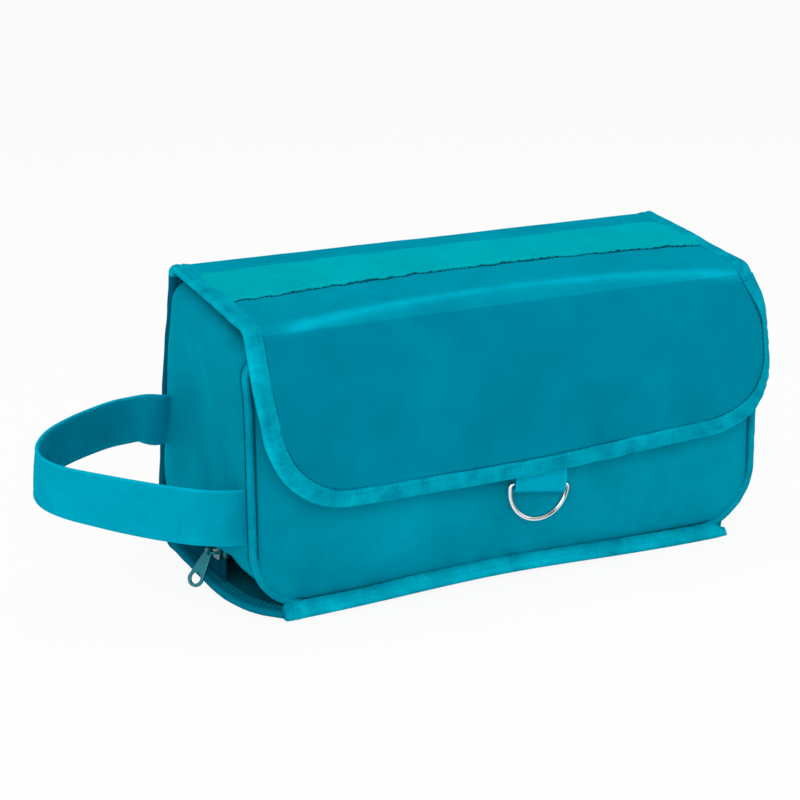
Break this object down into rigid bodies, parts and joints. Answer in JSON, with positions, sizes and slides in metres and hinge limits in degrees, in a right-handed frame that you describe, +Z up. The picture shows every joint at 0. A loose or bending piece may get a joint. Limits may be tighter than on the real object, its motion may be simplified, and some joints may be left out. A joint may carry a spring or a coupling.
{
  "type": "toiletry bag",
  "caption": "Hanging toiletry bag: a bound cover with a front flap wraps a zipped box, with a side wrist strap and a metal ring on the flap to hang it by.",
  "frame": {"origin": "middle of the base, on the surface that the bag stands on", "axes": "+X along the bag, the wrist strap is at -X; +Y to the rear, the flap is at -Y; +Z up"},
  "size_m": [0.3297, 0.1347, 0.1395],
  "materials": {
    "satin_nylon": "teal satin nylon, fine plain weave with a soft sheen",
    "lining": "thin dark teal coated nylon",
    "stiffener": "sheet stiffener, hidden between sheet and lining",
    "binding_tape": "teal folded binding tape with two rows of stitches",
    "piping": "teal satin piping over a cord",
    "top_band": "lighter green-teal flat band",
    "webbing": "folded self-fabric webbing, stitched along both edges",
    "zip_tape": "woven dark teal zip tape",
    "zip_coil": "dark teal nylon coil",
    "zip_metal": "teal enamel over die-cast metal",
    "hook_and_loop": "teal hook-and-loop tape",
    "ring_chrome": "polished nickel plate"
  },
  "bodies": {
    "bag": {"bottom_sheet": "satin_nylon", "bottom_board": "stiffener", "bottom_lining": "lining", "bottom_edge_tapes": "binding_tape", "front_binding": "binding_tape", "rear_fold": "satin_nylon", "box_front": "satin_nylon", "front_lining": "lining", "front_piping": "piping", "left_side": "satin_nylon", "right_side": "satin_nylon", "box_top": "satin_nylon", "loop_patch": "hook_and_loop", "zip_tape": "zip_tape", "zip_coil": "zip_coil", "bottom_zip_coil": "zip_coil", "bottom_zip_walls": "zip_tape", "zip_stops": "zip_metal", "strap_ends": "webbing"},
    "back": {"back_sheet": "satin_nylon", "back_board": "stiffener", "back_lining": "lining", "back_edge_tapes": "binding_tape", "back_zip_coil": "zip_coil", "back_zip_walls": "zip_tape", "top_rear_fold": "satin_nylon"},
    "top": {"top_sheet": "satin_nylon", "top_board": "stiffener", "top_lining": "lining", "top_edge_tapes": "binding_tape", "top_band": "top_band", "front_fold": "satin_nylon"},
    "flap": {"flap_sheet": "satin_nylon", "flap_foam": "stiffener", "flap_lining": "lining", "flap_binding": "binding_tape", "hook_patch": "hook_and_loop", "ring_tab": "webbing"},
    "ring": {"d_ring": "ring_chrome"},
    "strap": {"wrist_strap": "webbing"},
    "slider": {"zip_slider": "zip_metal"},
    "pull": {"zip_pull": "zip_metal"}
  },
  "joints": [
    {"name": "back_fold", "type": "hinge", "parent": "bag", "child": "back", "pos_m": [0, 0.047, 0.016], "axis": [-1, 0, 0], "range_deg": [0, 103.1], "deforming": ["rear_fold"]},
    {"name": "top_fold", "type": "hinge", "parent": "back", "child": "top", "pos_m": [0, 0.03, 0.1332], "axis": [-1, 0, 0], "range_deg": [0, 84.3], "deforming": ["top_rear_fold"]},
    {"name": "flap_fold", "type": "hinge", "parent": "top", "child": "flap", "pos_m": [0, -0.04927, 0.12697], "axis": [-1, 0, 0], "range_deg": [0, 70], "deforming": ["front_fold"]},
    {"name": "ring_swing", "type": "hinge", "parent": "flap", "child": "ring", "pos_m": [0.0045, -0.0658, 0.0435], "axis": [-1, 0, 0], "range_deg": [-15, 110]},
    {"name": "strap_swing", "type": "hinge", "parent": "bag", "child": "strap", "pos_m": [-0.127, -0.047, 0.045], "axis": [0, 0.9563, 0.2924], "range_deg": [-30, 30]},
    {"name": "zip_slide", "type": "slide", "parent": "bag", "child": "slider", "axis": [0, 1, 0], "range_m": [0, 0.024]},
    {"name": "pull_swing", "type": "hinge", "parent": "slider", "child": "pull", "pos_m": [-0.12855, -0.007, 0.0172], "axis": [0, 1, 0], "range_deg": [-12, 120]}
  ],
  "couplings": [
    {"joint": "top_fold", "follows": "back_fold", "ratio": 0.8167}
  ]
}
